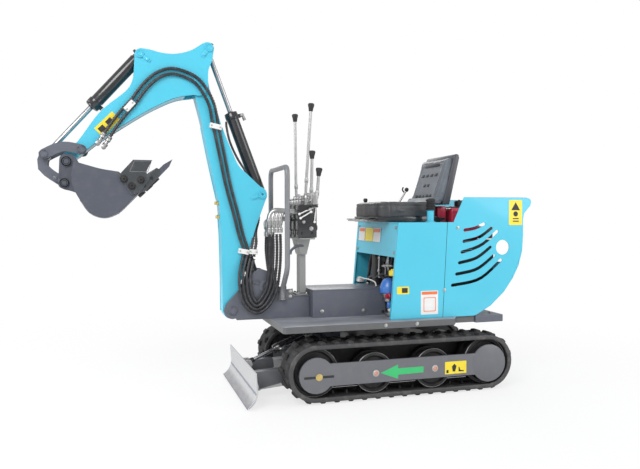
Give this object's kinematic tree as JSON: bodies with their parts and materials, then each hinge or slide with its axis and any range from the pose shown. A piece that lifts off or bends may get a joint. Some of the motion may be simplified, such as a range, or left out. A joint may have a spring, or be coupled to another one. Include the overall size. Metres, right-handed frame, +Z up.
{
  "type": "mini excavator",
  "caption": "Compact tracked digger with an open seat, front blade, slewing house and a boom, arm and bucket worked by cylinders.",
  "frame": {"origin": "centre of the parked machine's outline, on the ground", "axes": "+X forward, towards the blade and bucket; +Y left; +Z up"},
  "size_m": [2.5098, 0.73, 1.785],
  "materials": {
    "blue_paint": "gloss",
    "slate_paint": "satin",
    "grey_paint": "satin",
    "black_paint": "satin",
    "rubber": "matt",
    "chrome": "polished",
    "red_paint": "gloss",
    "seat_vinyl": "satin"
  },
  "bodies": {
    "undercarriage": {"car_body": "slate_paint", "slew_ring": "black_paint", "track_left": "rubber", "track_frame_left": "slate_paint", "idler_left": "black_paint", "sprocket_left": "black_paint", "roller_front_left": "black_paint", "roller_rear_left": "black_paint", "track_right": "rubber", "track_frame_right": "slate_paint", "idler_right": "black_paint", "sprocket_right": "black_paint", "roller_front_right": "black_paint", "roller_rear_right": "black_paint"},
    "blade": {"blade": "grey_paint"},
    "blade_barrel": {"blade_cylinder_barrel": "black_paint"},
    "blade_rod": {"blade_cylinder_rod": "chrome"},
    "house": {"deck": "grey_paint", "counterweight": "slate_paint", "boom_bracket": "slate_paint", "centre_cover": "slate_paint", "cabinet_left": "blue_paint", "cabinet_right": "blue_paint", "cabinet_front": "blue_paint", "cabinet_top": "blue_paint", "tail_left": "blue_paint", "tail_right": "blue_paint", "rear_guard": "blue_paint", "engine": "black_paint", "fuel_tank": "red_paint", "hydraulic_tank": "blue_paint", "oil_filter": "blue_paint", "seat_rails": "black_paint", "seat_cushion": "seat_vinyl", "seat_back": "seat_vinyl", "lever_stand": "slate_paint", "valve_block": "black_paint", "handrail": "slate_paint", "boom_lever": "chrome", "arm_lever": "chrome", "track_lever_left": "chrome", "track_lever_right": "chrome", "throttle_lever": "chrome", "valve_hoses": "rubber"},
    "boom": {"boom": "blue_paint", "boom_hoses": "rubber", "elbow_hoses": "rubber"},
    "boom_barrel": {"boom_cylinder_barrel": "black_paint"},
    "boom_rod": {"boom_cylinder_rod": "chrome"},
    "arm": {"arm": "blue_paint", "arm_hoses": "rubber"},
    "arm_barrel": {"arm_cylinder_barrel": "black_paint"},
    "arm_rod": {"arm_cylinder_rod": "chrome"},
    "bucket": {"bucket": "slate_paint"},
    "bucket_barrel": {"bucket_cylinder_barrel": "black_paint"},
    "bucket_rod": {"bucket_cylinder_rod": "chrome"},
    "rocker": {"rocker_left": "slate_paint", "rocker_right": "slate_paint"},
    "link": {"bucket_link": "slate_paint"}
  },
  "joints": [
    {"name": "slew", "type": "hinge", "parent": "undercarriage", "child": "house", "pos_m": [-0.487, 0, 0], "axis": [0, 0, 1], "continuous": true},
    {"name": "boom_lift", "type": "hinge", "parent": "house", "child": "boom", "pos_m": [0.34, 0, 0.435], "axis": [0, -1, 0], "range_deg": [-110, 3], "deforming": ["valve_hoses"]},
    {"name": "boom_barrel_swing", "type": "hinge", "parent": "house", "child": "boom_barrel", "pos_m": [0.213, 0, 0.575], "axis": [0, 1, 0], "range_deg": [-2.8, 102.52]},
    {"name": "boom_rod_slide", "type": "slide", "parent": "boom_barrel", "child": "boom_rod", "axis": [0.3098, 0, 0.9508], "range_m": [-0.0081, 0.29687]},
    {"name": "arm_swing", "type": "hinge", "parent": "boom", "child": "arm", "pos_m": [0.498, 0, 1.588], "axis": [0, 1, 0], "range_deg": [-85, 16], "deforming": ["elbow_hoses"]},
    {"name": "arm_barrel_swing", "type": "hinge", "parent": "boom", "child": "arm_barrel", "pos_m": [0.18, 0, 1.027], "axis": [0, 1, 0], "range_deg": [-7.8, 1.47]},
    {"name": "arm_rod_slide", "type": "slide", "parent": "arm_barrel", "child": "arm_rod", "axis": [0.348, 0, 0.9375], "range_m": [-0.21185, 0.03988]},
    {"name": "bucket_curl", "type": "hinge", "parent": "arm", "child": "bucket", "pos_m": [1.125, 0, 1.176], "axis": [0, 1, 0], "range_deg": [-150, 8]},
    {"name": "bucket_barrel_swing", "type": "hinge", "parent": "arm", "child": "bucket_barrel", "pos_m": [0.786, 0, 1.705], "axis": [0, 1, 0], "range_deg": [-2.49, 0.13]},
    {"name": "bucket_rod_slide", "type": "slide", "parent": "bucket_barrel", "child": "bucket_rod", "axis": [0.6596, 0, -0.7516], "range_m": [-0.24647, 0.01315]},
    {"name": "rocker_swing", "type": "hinge", "parent": "arm", "child": "rocker", "pos_m": [1.056, 0, 1.233], "axis": [0, 1, 0], "range_deg": [-93.48, 4.99]},
    {"name": "link_swing", "type": "hinge", "parent": "rocker", "child": "link", "pos_m": [1.223, 0, 1.207], "axis": [0, 1, 0], "range_deg": [-1.29, 24.17]},
    {"name": "blade_lift", "type": "hinge", "parent": "undercarriage", "child": "blade", "pos_m": [-0.087, 0, 0.095], "axis": [0, -1, 0], "range_deg": [-14, 22]},
    {"name": "blade_barrel_swing", "type": "hinge", "parent": "undercarriage", "child": "blade_barrel", "pos_m": [-0.112, 0, 0.3025], "axis": [0, 1, 0], "range_deg": [-17.28, 11]},
    {"name": "blade_rod_slide", "type": "slide", "parent": "blade_barrel", "child": "blade_rod", "axis": [0.9226, 0, -0.3857], "range_m": [-0.07128, 0.04536]}
  ],
  "couplings": [
    {"joint": "boom_barrel_swing", "follows": "boom_lift", "ratio": -0.9137},
    {"joint": "boom_rod_slide", "follows": "boom_lift", "m_per_rad": -0.1516},
    {"joint": "arm_barrel_swing", "follows": "arm_swing", "ratio": 0.09},
    {"joint": "arm_rod_slide", "follows": "arm_swing", "m_per_rad": 0.14},
    {"joint": "bucket_barrel_swing", "follows": "bucket_curl", "ratio": 0.0163},
    {"joint": "bucket_rod_slide", "follows": "bucket_curl", "m_per_rad": 0.0923},
    {"joint": "rocker_swing", "follows": "bucket_curl", "ratio": 0.611},
    {"joint": "link_swing", "follows": "bucket_curl", "ratio": -0.158},
    {"joint": "blade_barrel_swing", "follows": "blade_lift", "ratio": -0.77},
    {"joint": "blade_rod_slide", "follows": "blade_lift", "m_per_rad": -0.182}
  ]
}
